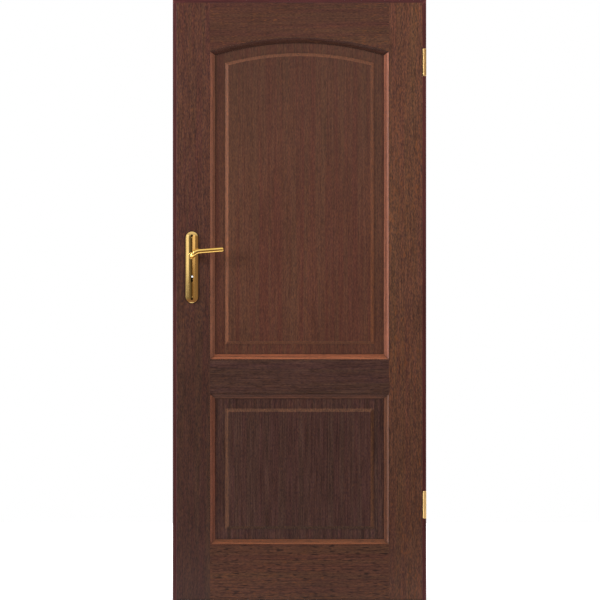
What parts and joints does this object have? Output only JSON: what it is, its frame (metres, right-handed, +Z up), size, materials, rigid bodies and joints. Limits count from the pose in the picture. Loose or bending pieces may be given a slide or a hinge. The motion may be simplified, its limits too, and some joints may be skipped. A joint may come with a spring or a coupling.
{
  "type": "panelled door with frame",
  "caption": "Rebated dark-stained wooden door with an arched raised panel over a square one, mitred beads, brass lever handles, mortise lock and lift-off hinges, hung in its frame.",
  "frame": {"origin": "on the floor, at the middle of the frame's width and of the leaf's thickness", "axes": "+Z up, +Y from the side with the hinges through the leaf into the wall, +X towards the hinges seen from the front"},
  "size_m": [0.8711, 0.152, 2.0695],
  "materials": {
    "stained_wood": "dark walnut stain under satin varnish, over visible grain",
    "brass": "polished and lacquered",
    "steel": "zinc plated",
    "seal_rubber": "matt dark brown",
    "nylon": "natural",
    "beech": "bare turned wood"
  },
  "bodies": {
    "frame": {"lock_jamb": "stained_wood", "hinge_jamb": "stained_wood", "frame_head": "stained_wood", "hinge_side_seal": "seal_rubber", "lock_side_seal": "seal_rubber", "head_seal": "seal_rubber", "strike_plate": "brass", "strike_screws": "brass", "corner_screws": "steel", "upper_frame_knuckle": "brass", "lower_frame_knuckle": "brass", "hinge_pins": "steel", "hinge_washers": "brass"},
    "leaf": {"lock_stile": "stained_wood", "hinge_stile": "stained_wood", "top_rail": "stained_wood", "mid_rail": "stained_wood", "bottom_rail": "stained_wood", "upper_panel": "stained_wood", "lower_panel": "stained_wood", "upper_left_bead_front": "stained_wood", "upper_left_bead_back": "stained_wood", "upper_right_bead_front": "stained_wood", "upper_right_bead_back": "stained_wood", "upper_top_bead_front": "stained_wood", "upper_top_bead_back": "stained_wood", "upper_bottom_bead_front": "stained_wood", "upper_bottom_bead_back": "stained_wood", "lower_left_bead_front": "stained_wood", "lower_left_bead_back": "stained_wood", "lower_right_bead_front": "stained_wood", "lower_right_bead_back": "stained_wood", "lower_top_bead_front": "stained_wood", "lower_top_bead_back": "stained_wood", "lower_bottom_bead_front": "stained_wood", "lower_bottom_bead_back": "stained_wood", "front_plate": "brass", "back_plate": "brass", "lock_forend": "brass", "plate_screws": "brass", "forend_screws": "brass", "upper_leaf_knuckle": "brass", "lower_leaf_knuckle": "brass", "lock_case": "steel", "lock_cover": "steel", "return_spring": "steel", "latch_spring": "steel", "bolt_spring": "steel", "plate_bushes": "nylon", "rail_dowels": "beech"},
    "handle": {"front_lever": "brass", "back_lever": "brass", "spindle": "steel", "follower": "steel", "grub_screws": "steel"},
    "latch": {"latch_bolt": "brass"},
    "bolt": {"dead_bolt": "brass"}
  },
  "joints": [
    {"name": "leaf_swing", "type": "hinge", "parent": "frame", "child": "leaf", "pos_m": [0.4291, -0.016, 1], "axis": [0, 0, 1], "range_deg": [0, 165]},
    {"name": "lever_turn", "type": "hinge", "parent": "leaf", "child": "handle", "pos_m": [-0.369, 0, 1.188], "axis": [0, 1, 0], "range_deg": [0, 40], "stiffness_Nm_per_rad": 1.2, "springref_deg": -20.05, "deforming": ["return_spring"]},
    {"name": "latch_slide", "type": "slide", "parent": "leaf", "child": "latch", "axis": [1, 0, 0], "range_m": [0, 0.012], "deforming": ["latch_spring"]},
    {"name": "dead_bolt_slide", "type": "slide", "parent": "leaf", "child": "bolt", "axis": [-1, 0, 0], "range_m": [0, 0.02]}
  ],
  "couplings": [
    {"joint": "latch_slide", "follows": "lever_turn", "m_per_rad": 0.01718}
  ]
}
